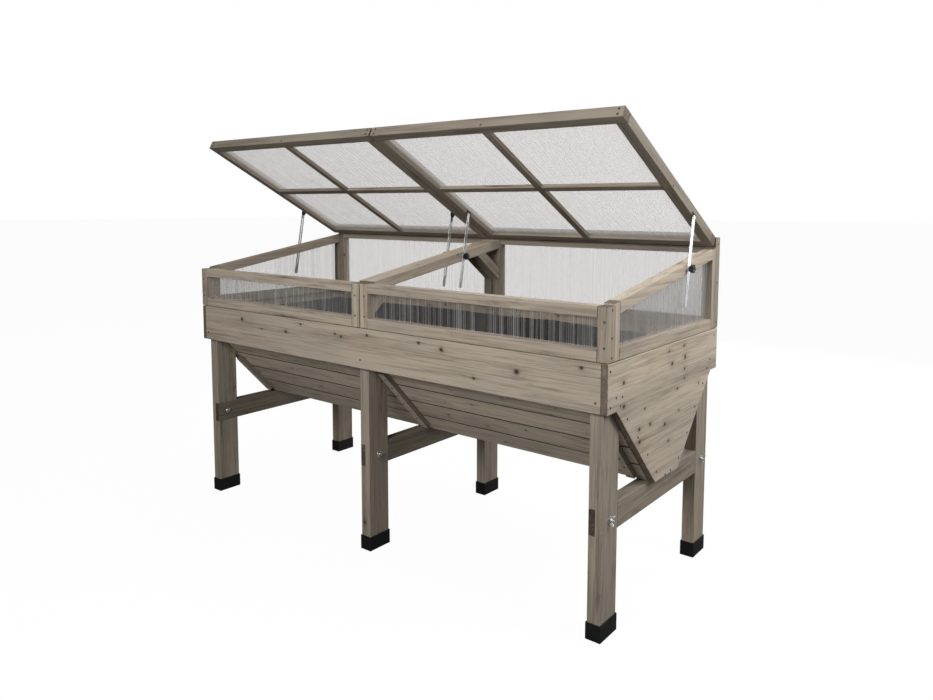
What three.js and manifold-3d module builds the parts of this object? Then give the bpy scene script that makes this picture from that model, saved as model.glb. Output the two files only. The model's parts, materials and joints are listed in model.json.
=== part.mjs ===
// A cold frame on a raised V-shaped planter, with two glazed lids held open by slotted stays.
// Millimetres, +Z up, +X to the right, the front faces -Y, and the origin is on the ground under
// the middle of the planter.
import * as THREE from "three";
import { mergeVertices } from "three/addons/utils/BufferGeometryUtils.js";
import Module from "manifold-3d";

// ---- Driving dimensions ----

const LENGTH = 1800;
const DEPTH = 744;
const PLANTER_TOP = 750;
const APRON_BOTTOM = 618;
const APRON_THICKNESS = 18;
const END_PANEL_THICKNESS = 20;
const ROUND_SEGMENTS = 32;
const FIT_GAP = 0.3; // between pieces that are cut to fit each other
const PAST = 1; // how far a cutter runs past the face it opens

const LEG_WIDTH = 40;
const LEG_DEPTH = 86;
const LEG_TOP = 735;
const LEG_TONGUE = 30; // depth of the part of a leg that stands behind the apron
const FOOT_HEIGHT = 48;
const FOOT_WALL = 3;
const STRETCHER_TENON = 20; // thickness of a stretcher's halved ends
const STRETCHER_BOTTOM = 286;
const STRETCHER_TOP = 358;

const TROUGH_BOTTOM = 360;
const TROUGH_TOP_HALF_WIDTH = 322; // where the sloping side meets the bottom of the apron
const TROUGH_BOTTOM_HALF_WIDTH = 79;
const SLAT_COUNT = 4;
const SLAT_THICKNESS = 12;
const SLAT_GAP = 3;
const BASE_THICKNESS = 14;
const BASE_HALF_WIDTH = 69;
const LINER_THICKNESS = 2;
const LINER_TOP = 738;
const LINER_CLEARANCE = 2; // between the liner and the legs' tongues

const FRAME_THICKNESS = 34;
const FRONT_STILE = 33;
const BACK_STILE = 36;
const END_STILE = 25;
const BOTTOM_RAIL = 35;
const FRONT_TOP_RAIL = 30;
const BACK_TOP_RAIL = 51;
const END_TOP_RAIL = 32;
const BAY_GAP = 6; // between the frames of the left and the right bay
const PANE_THICKNESS = 6;
const PANE_RECESS = 16; // from the outer face of a frame to its pane
const PANE_LIP = 8; // depth of the groove that holds a pane

const LID_THICKNESS = 32;
const LID_LENGTH = 731;
const LID_RAIL = 32;
const LID_BAR_WIDTH = 25;
const LID_BAR_DEPTH = 13;
const LID_BAR_FROM_HINGE = 375; // centre line of the cross bar
const LID_BACK_GAP = 3; // from the hinge axis to the lid's back edge
const LID_SEAT_GAP = 0.7; // between a closed lid and the frames under it
const LID_CLOSED_SLOPE = 9.4; // degrees below level, towards the front
const LID_OPEN_SLOPE = 28.6; // degrees above level, as the lid stands now
const HINGE_Y = 334;
const HINGE_Z = 1046;

const MID_RAIL_WIDTH = 71;
const MID_RAIL_DEPTH = 33;
const BRACE_THICKNESS = 36;
const BACK_BRACE_FOOT_Z = 858;
const BACK_BRACE_SLOPE = 36; // degrees above level
const FRONT_BRACE_FOOT_Z = 798;
const FRONT_BRACE_SLOPE = 42;

const STAY_WIDTH = 14;
const STAY_THICKNESS = 2;
const STAY_LENGTH = 279;
const STAY_HEAD = 7; // from the pivot to the top end
const STAY_SLOT_START = 27; // both from the pivot
const STAY_SLOT_END = 232;
const SLOT_HALF_WIDTH = 2.9;
const SCALLOP_PITCH = 11;
const SCALLOP_DEPTH = 1.2;
const BRACKET_THICKNESS = 2;
const BRACKET_WIDTH = 22;
const BRACKET_RISE = 12; // up the side of the lid's rail
const PIVOT_FROM_HINGE = 203; // along the lid
const PIVOT_BELOW_LID = 3;
const PIVOT_RADIUS = 3;
const RIVET_HEAD_RADIUS = 5;
const RIVET_HEAD_HEIGHT = 1.5;
const INNER_STAY_GAP = 0.5; // from the mid rail's side to the inner brackets
const KNOB_Y = 112;
const KNOB_Z = 961;
const KNOB_RADIUS = 12.5;
const KNOB_LOBES = 5;
const KNOB_LOBE_DEPTH = 3; // from the crest of a lobe to the bottom of a dip
const KNOB_HEAD = 11;
const KNOB_COLLAR = 5;
const KNOB_COLLAR_RADIUS = 7.8;
const JOIN = 0.5; // how far two shapes overlap where they are joined into one piece

const GREY_WOOD = 0x9b9080;
const SHADED_WOOD = 0x877c6d;

// ---- Derived places ----

const halfLength = LENGTH / 2;
const halfDepth = DEPTH / 2;
const radians = THREE.MathUtils.degToRad;
const innerEnd = halfLength - END_PANEL_THICKNESS;
const legFront = halfDepth - APRON_THICKNESS;
const legBack = legFront - LEG_DEPTH;
const frameInside = halfDepth - FRAME_THICKNESS;
const midRailHalf = MID_RAIL_WIDTH / 2;

const troughRun = TROUGH_TOP_HALF_WIDTH - TROUGH_BOTTOM_HALF_WIDTH;
const troughFall = APRON_BOTTOM - TROUGH_BOTTOM;
const troughSlope = Math.atan2(troughFall, troughRun);
const troughSideLength = Math.hypot(troughRun, troughFall);

// Height of the plane that the closed lids' undersides lie in, and of the frames' tops below it.
function lidSeatHeight(y) {
  const slope = radians(LID_CLOSED_SLOPE);
  const below = LID_THICKNESS / Math.cos(slope) + LID_SEAT_GAP;
  return HINGE_Z - below - (HINGE_Y - y) * Math.tan(slope);
}

// ---- Materials ----

function wood(color = GREY_WOOD) {
  return new THREE.MeshStandardMaterial({ color, roughness: 0.82, metalness: 0 });
}

function blackRubber() {
  return new THREE.MeshStandardMaterial({ color: 0x17181a, roughness: 0.7, metalness: 0 });
}

function linerFabric() {
  return new THREE.MeshStandardMaterial({ color: 0x1c1d1f, roughness: 0.95, metalness: 0 });
}

function twinWallSheet() {
  return new THREE.MeshStandardMaterial({
    color: 0xdfe0e2,
    roughness: 0.35,
    metalness: 0,
    transparent: true,
    opacity: 0.55,
  });
}

function zincSteel() {
  return new THREE.MeshStandardMaterial({ color: 0xb9bcc0, roughness: 0.35, metalness: 0.9 });
}

function blackSteel() {
  return new THREE.MeshStandardMaterial({ color: 0x1a1a1b, roughness: 0.5, metalness: 0.6 });
}

function blackPlastic() {
  return new THREE.MeshStandardMaterial({ color: 0x111112, roughness: 0.45, metalness: 0 });
}

// ---- Solids: three.js shapes, joined and cut with manifold ----

const manifold = await Module();
manifold.setup();

function solidOf(geometry) {
  const bare = new THREE.BufferGeometry();
  bare.setAttribute("position", geometry.getAttribute("position"));
  bare.setIndex(geometry.getIndex());
  const merged = mergeVertices(bare, 1e-4);
  return new manifold.Manifold(
    new manifold.Mesh({
      numProp: 3,
      vertProperties: merged.attributes.position.array,
      triVerts: new Uint32Array(merged.index.array),
    }),
  );
}

function geometryOf(solid) {
  const mesh = solid.getMesh();
  const geometry = new THREE.BufferGeometry();
  const position = new THREE.BufferAttribute(new Float32Array(mesh.vertProperties), 3);
  geometry.setAttribute("position", position);
  geometry.setIndex(new THREE.BufferAttribute(new Uint32Array(mesh.triVerts), 1));
  const flat = geometry.toNonIndexed();
  flat.computeVertexNormals();
  return flat;
}

function joined(geometries) {
  return geometryOf(manifold.Manifold.union(geometries.map(solidOf)));
}

function cut(geometry, cutters) {
  return geometryOf(solidOf(geometry).subtract(manifold.Manifold.union(cutters.map(solidOf))));
}

function box(x, y, z) {
  const geometry = new THREE.BoxGeometry(x[1] - x[0], y[1] - y[0], z[1] - z[0]);
  return geometry.translate((x[0] + x[1]) / 2, (y[0] + y[1]) / 2, (z[0] + z[1]) / 2);
}

// Stands a shape drawn in XY and extruded along Z up into the YZ plane, extruded along X.
const alongX = new THREE.Matrix4().makeBasis(
  new THREE.Vector3(0, 1, 0),
  new THREE.Vector3(0, 0, 1),
  new THREE.Vector3(1, 0, 0),
);

// A prism along X: its outline is given as [y, z] points, counter-clockwise seen from +X.
function prismAlongX(outline, x0, x1) {
  const shape = new THREE.Shape(outline.map(([y, z]) => new THREE.Vector2(y, z)));
  const geometry = new THREE.ExtrudeGeometry(shape, { depth: x1 - x0, bevelEnabled: false });
  return geometry.applyMatrix4(alongX).translate(x0, 0, 0);
}

function cylinderAlongX(radius, x0, x1, y, z) {
  const geometry = new THREE.CylinderGeometry(radius, radius, x1 - x0, ROUND_SEGMENTS);
  return geometry.rotateZ(Math.PI / 2).translate((x0 + x1) / 2, y, z);
}

// Moves each edge of a counter-clockwise outline inwards by its own distance.
function insetOutline(outline, distances) {
  const corners = outline.map(([u, v]) => new THREE.Vector2(u, v));
  const edges = corners.map((corner, i) => {
    const direction = corners[(i + 1) % corners.length].clone().sub(corner).normalize();
    const inwards = new THREE.Vector2(-direction.y, direction.x);
    return { point: corner.clone().addScaledVector(inwards, distances[i]), direction };
  });
  return edges.map((edge, i) => {
    const before = edges[(i + edges.length - 1) % edges.length];
    const between = edge.point.clone().sub(before.point);
    const along = between.cross(edge.direction) / before.direction.cross(edge.direction);
    const corner = before.point.clone().addScaledVector(before.direction, along);
    return [corner.x, corner.y];
  });
}

// ---- The assembly ----

const coldFrame = new THREE.Group();
coldFrame.name = "cold_frame";

function addMesh(parent, name, geometry, material) {
  const mesh = new THREE.Mesh(geometry, material);
  mesh.name = name;
  parent.add(mesh);
  return mesh;
}

// Turns a shape made for the front or the right side to face the back or the left side.
function mirrored(geometry, axis) {
  const scale = axis === "x" ? [-1, 1, 1] : [1, -1, 1];
  const copy = geometry.clone().scale(...scale);
  const position = copy.getAttribute("position");
  const swapped = new Float32Array(position.array);
  for (let i = 0; i < swapped.length; i += 9) {
    swapped.set(position.array.slice(i + 3, i + 6), i + 6);
    swapped.set(position.array.slice(i + 6, i + 9), i + 3);
  }
  const geometryOut = new THREE.BufferGeometry();
  geometryOut.setAttribute("position", new THREE.BufferAttribute(swapped, 3));
  geometryOut.computeVertexNormals();
  return geometryOut;
}

// ---- Legs, feet and stretchers ----

function ordered(a, b) {
  return [Math.min(a, b), Math.max(a, b)];
}

// Height of the trough side's outer face at a distance from the middle.
function troughSideHeight(fromMiddle) {
  return APRON_BOTTOM + (fromMiddle - TROUGH_TOP_HALF_WIDTH) * Math.tan(troughSlope);
}

// A leg of the front row, centred on X. Its top is bevelled to carry the trough's side, with a
// tongue behind the apron, and one side is notched for the stretcher's tenon.
function legGeometry(notchSide) {
  const bevelGap = FIT_GAP / Math.cos(troughSlope);
  const tongueBack = legFront - LEG_TONGUE;
  const outline = [
    [-legFront, FOOT_WALL],
    [-legBack, FOOT_WALL],
    [-legBack, troughSideHeight(legBack) - bevelGap],
    [-tongueBack, troughSideHeight(tongueBack) - bevelGap],
    [-tongueBack, LEG_TOP],
    [-legFront, LEG_TOP],
  ];
  const halfWidth = LEG_WIDTH / 2;
  const leg = prismAlongX(outline, -halfWidth, halfWidth);
  const notchX = ordered(
    notchSide * (halfWidth - STRETCHER_TENON),
    notchSide * (halfWidth + PAST),
  );
  const notch = box(notchX, [-halfDepth, 0], [STRETCHER_BOTTOM, STRETCHER_TOP]);
  return cut(leg, [notch]);
}

// A bar as thick as a leg, from leg to leg. Its ends are halved to fill the legs' notches.
function stretcherGeometry(notchSide) {
  const halfWidth = LEG_WIDTH / 2;
  const shoulder = legBack - FIT_GAP;
  const bar = box(
    [-halfWidth, halfWidth],
    [-legFront, legFront],
    [STRETCHER_BOTTOM, STRETCHER_TOP],
  );
  const wasteX = ordered(
    notchSide * (halfWidth - STRETCHER_TENON),
    -notchSide * (halfWidth + PAST),
  );
  const wasteZ = [STRETCHER_BOTTOM - PAST, STRETCHER_TOP + PAST];
  const frontWaste = box(wasteX, [-legFront - PAST, -shoulder], wasteZ);
  const backWaste = box(wasteX, [shoulder, legFront + PAST], wasteZ);
  return cut(bar, [frontWaste, backWaste]);
}

function footGeometry() {
  const halfWidth = LEG_WIDTH / 2;
  const wall = FOOT_WALL;
  const outside = box(
    [-halfWidth - wall, halfWidth + wall],
    [-legFront - wall, -legBack + wall],
    [0, FOOT_HEIGHT],
  );
  const socket = box([-halfWidth, halfWidth], [-legFront, -legBack], [wall, FOOT_HEIGHT + PAST]);
  return cut(outside, [socket]);
}

function addLegs() {
  const endLegX = innerEnd - LEG_WIDTH / 2;
  const columns = [
    { place: "left", x: -endLegX, notchSide: 1 },
    { place: "mid", x: 0, notchSide: -1 },
    { place: "right", x: endLegX, notchSide: -1 },
  ];
  for (const { place, x, notchSide } of columns) {
    const leg = legGeometry(notchSide);
    const foot = footGeometry();
    addMesh(coldFrame, `leg_front_${place}`, leg, wood()).position.x = x;
    addMesh(coldFrame, `leg_back_${place}`, mirrored(leg, "y"), wood()).position.x = x;
    addMesh(coldFrame, `foot_front_${place}`, foot, blackRubber()).position.x = x;
    addMesh(coldFrame, `foot_back_${place}`, mirrored(foot, "y"), blackRubber()).position.x = x;
    const stretcher = stretcherGeometry(notchSide);
    addMesh(coldFrame, `stretcher_${place}`, stretcher, wood(SHADED_WOOD)).position.x = x;
  }
}

// ---- Planter: aprons, end panels, trough and liner ----

function addAprons() {
  const height = PLANTER_TOP - APRON_BOTTOM;
  for (const [place, side] of [["front", -1], ["back", 1]]) {
    const board = new THREE.BoxGeometry(2 * innerEnd, APRON_THICKNESS, height);
    addMesh(coldFrame, `apron_${place}`, board, wood()).position.set(
      0,
      side * (halfDepth - APRON_THICKNESS / 2),
      APRON_BOTTOM + height / 2,
    );
  }
}

function addEndPanels() {
  const outline = [
    [-halfDepth, APRON_BOTTOM],
    [-TROUGH_TOP_HALF_WIDTH, APRON_BOTTOM],
    [-TROUGH_BOTTOM_HALF_WIDTH, TROUGH_BOTTOM],
    [TROUGH_BOTTOM_HALF_WIDTH, TROUGH_BOTTOM],
    [TROUGH_TOP_HALF_WIDTH, APRON_BOTTOM],
    [halfDepth, APRON_BOTTOM],
    [halfDepth, PLANTER_TOP],
    [-halfDepth, PLANTER_TOP],
  ];
  const panel = prismAlongX(outline, 0, END_PANEL_THICKNESS);
  addMesh(coldFrame, "end_panel_right", panel, wood()).position.x = innerEnd;
  addMesh(coldFrame, "end_panel_left", panel.clone(), wood()).position.x = -halfLength;
}

// The slats lie in a group whose Y runs down the slope and whose Z points into the trough.
function addTroughSlats() {
  const pitch = (troughSideLength + SLAT_GAP) / SLAT_COUNT;
  for (const [place, side] of [["front", -1], ["back", 1]]) {
    const slope = new THREE.Group();
    slope.position.set(0, side * TROUGH_TOP_HALF_WIDTH, APRON_BOTTOM);
    slope.rotation.x = side * troughSlope;
    coldFrame.add(slope);
    for (let i = 0; i < SLAT_COUNT; i += 1) {
      const width = pitch - SLAT_GAP;
      const slat = new THREE.BoxGeometry(2 * innerEnd, width, SLAT_THICKNESS);
      const downSlope = i * pitch + width / 2;
      addMesh(slope, `trough_slat_${place}_${i + 1}`, slat, wood(SHADED_WOOD)).position.set(
        0,
        -side * downSlope,
        SLAT_THICKNESS / 2,
      );
    }
  }
}

function addTroughBase() {
  const board = new THREE.BoxGeometry(2 * innerEnd, 2 * BASE_HALF_WIDTH, BASE_THICKNESS);
  addMesh(coldFrame, "trough_base", board, wood(SHADED_WOOD)).position.z =
    TROUGH_BOTTOM + BASE_THICKNESS / 2;
}

// Half of the liner's section, from the rim down to the base, at a distance inside the slats.
function linerHalfSection(wallY, insideSlats, floorZ, rimZ) {
  const acrossSlope = SLAT_THICKNESS + insideSlats;
  const shiftY = acrossSlope * Math.sin(troughSlope);
  const shiftZ = acrossSlope * Math.cos(troughSlope);
  const heightAt = (y) => troughSideHeight(y + shiftY) + shiftZ;
  const floorY = TROUGH_TOP_HALF_WIDTH - shiftY
    - (APRON_BOTTOM + shiftZ - floorZ) / Math.tan(troughSlope);
  return [
    [wallY, rimZ],
    [wallY, heightAt(wallY)],
    [floorY, floorZ],
  ];
}

function addLiner() {
  const wall = legFront - LEG_TONGUE - LINER_CLEARANCE;
  const floor = TROUGH_BOTTOM + BASE_THICKNESS + FIT_GAP;
  const rimBottom = LINER_TOP - LINER_THICKNESS;
  const rimEdge = legFront - FIT_GAP;
  const wholeSection = (half) => [
    ...half.map(([y, z]) => [-y, z]),
    ...half.slice().reverse(),
  ];
  const outer = wholeSection([
    [rimEdge, LINER_TOP],
    [rimEdge, rimBottom],
    ...linerHalfSection(wall, FIT_GAP, floor, rimBottom),
  ]);
  const inner = wholeSection(
    linerHalfSection(
      wall - LINER_THICKNESS,
      FIT_GAP + LINER_THICKNESS,
      floor + LINER_THICKNESS,
      LINER_TOP + PAST,
    ),
  );
  const linerEnd = innerEnd - FIT_GAP;
  const hollowEnd = linerEnd - LINER_THICKNESS;
  const hollow = prismAlongX(inner, -hollowEnd, hollowEnd);
  const liner = cut(prismAlongX(outer, -linerEnd, linerEnd), [hollow]);
  addMesh(coldFrame, "trough_liner", liner, linerFabric());
}

// ---- Cold frame: glazed frames, mid rail and braces ----

// A frame and its pane from an outline drawn in a plane, with the width of the member along each
// edge. The group's Z points out of the glazed face, and the frame lies behind Z = 0.
function addGlazedFrame(place, outline, widths) {
  const group = new THREE.Group();
  coldFrame.add(group);
  const shapeOf = (points) => new THREE.Shape(points.map(([u, v]) => new THREE.Vector2(u, v)));
  const slab = (points, front, back) => {
    const depth = back - front;
    const geometry = new THREE.ExtrudeGeometry(shapeOf(points), { depth, bevelEnabled: false });
    return geometry.translate(0, 0, -back);
  };
  const opening = insetOutline(outline, widths);
  const paneEdge = insetOutline(outline, widths.map((width) => width - PANE_LIP));
  const grooveEdge = insetOutline(outline, widths.map((width) => width - PANE_LIP - FIT_GAP));
  const paneBack = PANE_RECESS + PANE_THICKNESS;
  const frame = cut(slab(outline, 0, FRAME_THICKNESS), [
    slab(opening, -PAST, FRAME_THICKNESS + PAST),
    slab(grooveEdge, PANE_RECESS - FIT_GAP, paneBack + FIT_GAP),
  ]);
  addMesh(group, `${place.kind}_frame${place.side}`, frame, wood());
  const pane = slab(paneEdge, PANE_RECESS, paneBack);
  addMesh(group, `${place.kind}_pane${place.side}`, pane, twinWallSheet());
  return group;
}

function addFrontAndBackFrames() {
  const width = halfLength - BAY_GAP / 2;
  const rectangle = (top) => [
    [-width / 2, PLANTER_TOP],
    [width / 2, PLANTER_TOP],
    [width / 2, top],
    [-width / 2, top],
  ];
  const frontWidths = [BOTTOM_RAIL, FRONT_STILE, FRONT_TOP_RAIL, FRONT_STILE];
  const backWidths = [BOTTOM_RAIL, BACK_STILE, BACK_TOP_RAIL, BACK_STILE];
  for (const [side, sign] of [["_left", -1], ["_right", 1]]) {
    const x = sign * (halfLength - width / 2);
    const frontOutline = rectangle(lidSeatHeight(-halfDepth));
    const front = addGlazedFrame({ kind: "front", side }, frontOutline, frontWidths);
    front.position.set(x, -halfDepth, 0);
    front.rotation.x = Math.PI / 2;
    const back = addGlazedFrame({ kind: "back", side }, rectangle(HINGE_Z), backWidths);
    back.position.set(x, halfDepth, 0);
    back.rotation.set(Math.PI / 2, Math.PI, 0);
  }
}

function addEndFrames() {
  const front = -frameInside;
  const back = frameInside;
  const outline = (sign) => [
    [sign * (sign > 0 ? front : back), PLANTER_TOP],
    [sign * (sign > 0 ? back : front), PLANTER_TOP],
    [sign * (sign > 0 ? back : front), lidSeatHeight(sign > 0 ? back : front)],
    [sign * (sign > 0 ? front : back), lidSeatHeight(sign > 0 ? front : back)],
  ];
  const widths = [BOTTOM_RAIL, END_STILE, END_TOP_RAIL, END_STILE];
  for (const [side, sign] of [["_left", -1], ["_right", 1]]) {
    const frame = addGlazedFrame({ kind: "end", side }, outline(sign), widths);
    frame.position.set(sign * halfLength, 0, 0);
    frame.rotation.set(Math.PI / 2, (sign * Math.PI) / 2, 0);
  }
}

function addMidRail() {
  const under = (y) => lidSeatHeight(y) - MID_RAIL_DEPTH;
  const rail = [
    [-frameInside, under(-frameInside)],
    [frameInside, under(frameInside)],
    [frameInside, lidSeatHeight(frameInside)],
    [-frameInside, lidSeatHeight(-frameInside)],
  ];
  const railGeometry = prismAlongX(rail, -midRailHalf, midRailHalf);
  addMesh(coldFrame, "mid_rail", railGeometry, wood());

  // Each brace runs from the face of the front or back frames up to the underside of the rail.
  const braces = [
    { place: "back", side: 1, footZ: BACK_BRACE_FOOT_Z, slope: BACK_BRACE_SLOPE },
    { place: "front", side: -1, footZ: FRONT_BRACE_FOOT_Z, slope: FRONT_BRACE_SLOPE },
  ];
  for (const { place, side, footZ, slope } of braces) {
    const rise = Math.tan(radians(slope));
    const footHeight = BRACE_THICKNESS / Math.cos(radians(slope));
    const face = frameInside - FIT_GAP;
    // where the line that starts at height z on the frame's face reaches the rail
    const meetsRail = (z) => {
      const fall = -side * Math.tan(radians(LID_CLOSED_SLOPE));
      const away = (under(side * face) - FIT_GAP - z) / (rise - fall);
      return [side * (face - away), z + away * rise];
    };
    const corners = [
      [side * face, footZ],
      [side * face, footZ + footHeight],
      meetsRail(footZ + footHeight),
      meetsRail(footZ),
    ];
    const outline = side > 0 ? corners : corners.slice().reverse();
    const brace = prismAlongX(outline, -midRailHalf, midRailHalf);
    addMesh(coldFrame, `mid_rail_${place}_brace`, brace, wood(SHADED_WOOD));
  }
}

// ---- Lids, drawn flat: Y = 0 and Z = 0 on the hinge axis, the front edge towards -Y ----

function lidFrameGeometry(x0, x1) {
  const front = -LID_LENGTH;
  const back = -LID_BACK_GAP;
  const paneBottom = -LID_THICKNESS + LID_BAR_DEPTH;
  const paneTop = paneBottom + PANE_THICKNESS + 2 * FIT_GAP;
  const inside = { x: [x0 + LID_RAIL, x1 - LID_RAIL], y: [front + LID_RAIL, back - LID_RAIL] };
  const lip = PANE_LIP + FIT_GAP;
  const rails = cut(box([x0, x1], [front, back], [-LID_THICKNESS, 0]), [
    box(inside.x, inside.y, [-LID_THICKNESS - PAST, PAST]),
    box(
      [inside.x[0] - lip, inside.x[1] + lip],
      [inside.y[0] - lip, inside.y[1] + lip],
      [paneBottom, paneTop],
    ),
  ]);
  const halfBar = LID_BAR_WIDTH / 2;
  const middle = (x0 + x1) / 2;
  const barZ = [-LID_THICKNESS, paneBottom];
  const muntinX = [middle - halfBar, middle + halfBar];
  const muntin = box(muntinX, [inside.y[0] - JOIN, inside.y[1] + JOIN], barZ);
  const crossY = [-LID_BAR_FROM_HINGE - halfBar, -LID_BAR_FROM_HINGE + halfBar];
  const crossBar = box([inside.x[0] - JOIN, inside.x[1] + JOIN], crossY, barZ);
  return joined([rails, muntin, crossBar]);
}

function lidPaneGeometry(x0, x1) {
  const bottom = -LID_THICKNESS + LID_BAR_DEPTH + FIT_GAP;
  const edge = LID_RAIL - PANE_LIP;
  return box(
    [x0 + edge, x1 - edge],
    [-LID_LENGTH + edge, -LID_BACK_GAP - edge],
    [bottom, bottom + PANE_THICKNESS],
  );
}

// ---- Stays: bracket on the lid, slotted strip, and clamp knob on the rail ----

// The pieces of a stay are drawn for a rail whose outer face is at X = 0, looking towards +X.
const bracketFace = BRACKET_THICKNESS;
const stayFace = bracketFace + 2 * FIT_GAP;
const knobFace = stayFace + STAY_THICKNESS + 2 * FIT_GAP;

// Drawn in the lid's own axes.
function bracketGeometry() {
  const pivotY = -PIVOT_FROM_HINGE;
  const pivotZ = -LID_THICKNESS - PIVOT_BELOW_LID;
  const halfWidth = BRACKET_WIDTH / 2;
  const plateTop = -LID_THICKNESS + BRACKET_RISE;
  const plate = box([0, bracketFace], [pivotY - halfWidth, pivotY + halfWidth], [pivotZ, plateTop]);
  const nose = cylinderAlongX(halfWidth, 0, bracketFace, pivotY, pivotZ);
  const holeRadius = PIVOT_RADIUS + FIT_GAP;
  const hole = cylinderAlongX(holeRadius, -PAST, bracketFace + PAST, pivotY, pivotZ);
  return cut(joined([plate, nose]), [hole]);
}

// The slot's edge, from its top end to its bottom end: a row of scallops, each a shallow arc.
function slotOutline() {
  const scallops = Math.round((STAY_SLOT_END - STAY_SLOT_START) / SCALLOP_PITCH);
  const stepsPerScallop = 6;
  const steps = scallops * stepsPerScallop;
  const side = [];
  for (let i = 0; i <= steps; i += 1) {
    const along = STAY_SLOT_START + ((STAY_SLOT_END - STAY_SLOT_START) * i) / steps;
    const swell = Math.abs(Math.sin((Math.PI * i) / stepsPerScallop));
    side.push([along, SLOT_HALF_WIDTH + SCALLOP_DEPTH * (swell - 1)]);
  }
  return side;
}

// The strip hangs from its pivot at the origin, down -Z, with its rivet through the bracket.
function stayGeometry() {
  const half = STAY_WIDTH / 2;
  const bottom = STAY_LENGTH - STAY_HEAD - half;
  const outline = new THREE.Shape();
  outline.moveTo(-half, 0);
  outline.lineTo(-half, -bottom);
  outline.absarc(0, -bottom, half, Math.PI, 2 * Math.PI, false);
  outline.lineTo(half, 0);
  outline.absarc(0, 0, STAY_HEAD, 0, Math.PI, false);
  const edge = slotOutline();
  const slot = [
    ...edge.map(([along, width]) => new THREE.Vector2(-width, -along)),
    ...edge.reverse().map(([along, width]) => new THREE.Vector2(width, -along)),
  ];
  outline.holes.push(new THREE.Path(slot));
  const depth = STAY_THICKNESS;
  const strip = new THREE.ExtrudeGeometry(outline, { depth, bevelEnabled: false, curveSegments: 10 });
  strip.applyMatrix4(alongX).translate(stayFace, 0, 0);
  const outerFace = stayFace + STAY_THICKNESS;
  const rivet = cylinderAlongX(PIVOT_RADIUS, FIT_GAP, outerFace, 0, 0);
  const headEnd = outerFace + RIVET_HEAD_HEIGHT;
  const head = cylinderAlongX(RIVET_HEAD_RADIUS, outerFace - JOIN, headEnd, 0, 0);
  return joined([strip, rivet, head]);
}

// A lobed knob with a collar that presses on the strip.
function knobGeometry() {
  const outline = [];
  const stepsPerLobe = 10;
  const steps = KNOB_LOBES * stepsPerLobe;
  const middleRadius = KNOB_RADIUS - KNOB_LOBE_DEPTH / 2;
  for (let i = 0; i < steps; i += 1) {
    const angle = (2 * Math.PI * i) / steps;
    const radius = middleRadius + (KNOB_LOBE_DEPTH / 2) * Math.cos(KNOB_LOBES * angle);
    outline.push([radius * Math.cos(angle), radius * Math.sin(angle)]);
  }
  const collarEnd = knobFace + KNOB_COLLAR;
  const head = prismAlongX(outline, collarEnd - JOIN, collarEnd + KNOB_HEAD);
  const collar = cylinderAlongX(KNOB_COLLAR_RADIUS, knobFace, collarEnd, 0, 0);
  return joined([head, collar]);
}

function addLid(side, sign) {
  const inner = BAY_GAP / 2;
  const x0 = sign > 0 ? inner : -halfLength;
  const x1 = sign > 0 ? halfLength : -inner;
  const lid = new THREE.Group();
  lid.position.set(0, HINGE_Y, HINGE_Z);
  lid.rotation.x = -radians(LID_OPEN_SLOPE);
  coldFrame.add(lid);
  addMesh(lid, `lid_frame_${side}`, lidFrameGeometry(x0, x1), wood());
  addMesh(lid, `lid_pane_${side}`, lidPaneGeometry(x0, x1), twinWallSheet());

  // The stays run down the outer face of the end rail and down the side of the mid rail.
  const stays = [
    { place: "outer", faceX: sign * halfLength },
    { place: "inner", faceX: sign * (midRailHalf + INNER_STAY_GAP) },
  ];
  const handed = (geometry) => (sign > 0 ? geometry : mirrored(geometry, "x"));
  for (const { place, faceX } of stays) {
    const bracket = addMesh(
      lid,
      `stay_bracket_${side}_${place}`,
      handed(bracketGeometry()),
      blackSteel(),
    );
    bracket.position.x = faceX;
    const pivotY = -PIVOT_FROM_HINGE;
    const pivotZ = -LID_THICKNESS - PIVOT_BELOW_LID;
    const pivot = new THREE.Vector3(faceX, pivotY, pivotZ);
    lid.updateMatrixWorld(true);
    lid.localToWorld(pivot);
    const stay = addMesh(coldFrame, `stay_${side}_${place}`, handed(stayGeometry()), zincSteel());
    stay.position.copy(pivot);
    stay.rotation.x = Math.atan2(KNOB_Y - pivot.y, pivot.z - KNOB_Z);
    const knob = addMesh(
      coldFrame,
      `stay_knob_${side}_${place}`,
      handed(knobGeometry()),
      blackPlastic(),
    );
    knob.position.set(faceX, KNOB_Y, KNOB_Z);
  }
}

addLegs();
addAprons();
addEndPanels();
addTroughSlats();
addTroughBase();
addLiner();
addFrontAndBackFrames();
addEndFrames();
addMidRail();
addLid("left", -1);
addLid("right", 1);

export default coldFrame;
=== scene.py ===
"""Looks for a cold frame on a raised trough planter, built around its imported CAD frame.

Metres throughout. +Z is up, +X runs along the planter, and the front faces -Y.
"""
import json
import math
import random
from functools import reduce

import bmesh
import bpy
from mathutils import Matrix, Vector, noise


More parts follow.
